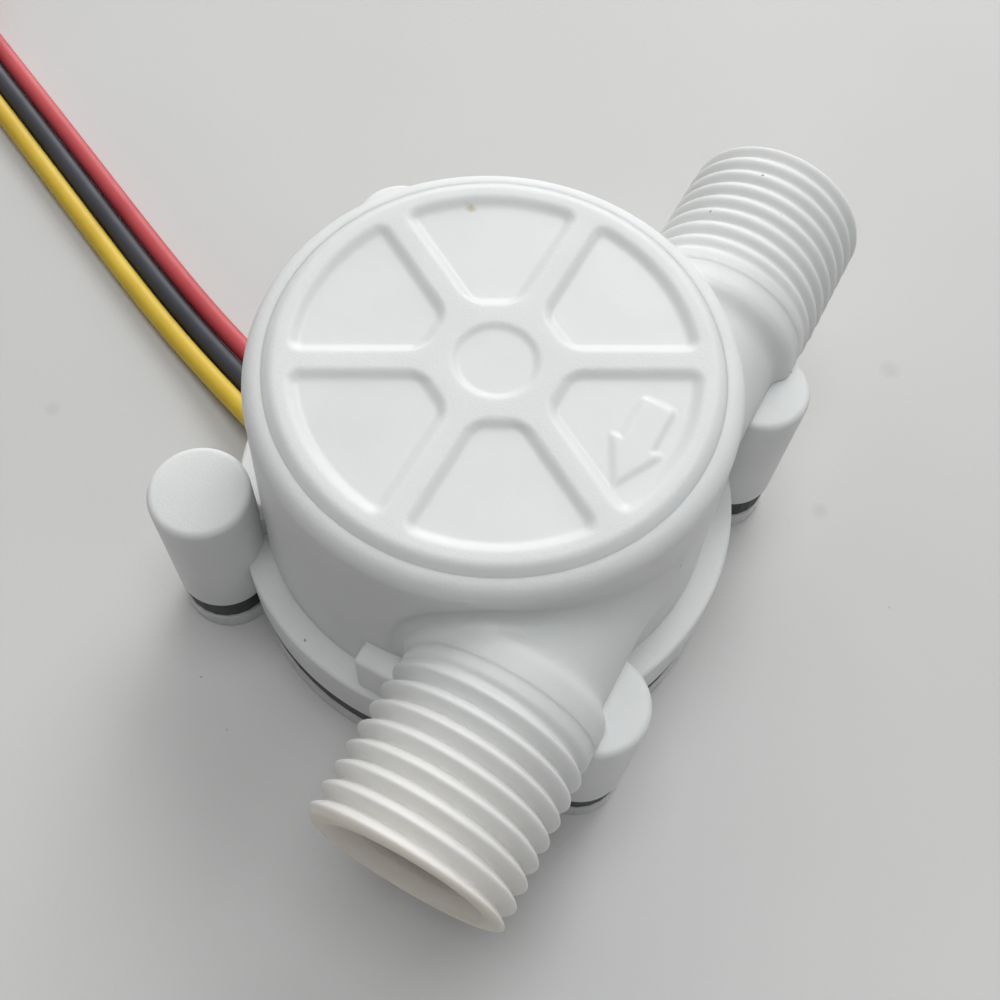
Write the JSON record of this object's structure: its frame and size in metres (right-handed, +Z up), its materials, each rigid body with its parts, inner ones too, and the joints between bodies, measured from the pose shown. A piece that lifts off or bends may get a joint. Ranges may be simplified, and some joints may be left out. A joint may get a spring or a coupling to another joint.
{
  "type": "water flow sensor",
  "caption": "White plastic turbine water flow sensor with a straight threaded pipe, a round rotor chamber and a three-wire lead.",
  "frame": {"origin": "centre of the rotor chamber on the underside of the base plate", "axes": "+Y along the pipe, against the flow arrow; +X from the chamber towards the pipe; +Z up through the cover"},
  "size_m": [0.1241, 0.0612, 0.025],
  "materials": {
    "white_plastic": "matte",
    "black_rubber": "matte",
    "steel": "satin",
    "grey_plastic": "satin",
    "magnet": "satin",
    "acetal": "satin",
    "board_green": "matte",
    "chip_black": "matte",
    "ceramic": "satin",
    "wire_red": "satin",
    "wire_black": "satin",
    "wire_yellow": "satin",
    "tie_white": "satin",
    "plug_white": "satin",
    "tinned_brass": "polished"
  },
  "bodies": {
    "sensor": {"housing": "white_plastic", "base_plate": "white_plastic", "gasket": "black_rubber", "screw_1": "steel", "screw_2": "steel", "screw_3": "steel", "screw_4": "steel", "rotor_shaft": "steel", "lower_thrust_washer": "steel", "upper_thrust_washer": "steel", "sensor_board": "board_green", "hall_chip": "chip_black", "pull_up_resistor": "ceramic", "filter_capacitor": "ceramic", "wire_red": "wire_red", "wire_black": "wire_black", "wire_yellow": "wire_yellow", "wire_end_red": "wire_red", "wire_end_black": "wire_black", "wire_end_yellow": "wire_yellow", "lead_coil": "wire_black", "coil_tie": "tie_white", "plug_housing": "plug_white", "terminal_red": "tinned_brass", "terminal_black": "tinned_brass", "terminal_yellow": "tinned_brass"},
    "turbine": {"rotor": "grey_plastic", "rotor_magnet_1": "magnet", "rotor_magnet_2": "magnet", "rotor_magnet_3": "magnet", "rotor_magnet_4": "magnet", "lower_bush": "acetal", "upper_bush": "acetal"}
  },
  "joints": [
    {"name": "rotor_spin", "type": "hinge", "parent": "sensor", "child": "turbine", "pos_m": [0, 0, 0.0133], "axis": [0, 0, 1], "continuous": true}
  ]
}
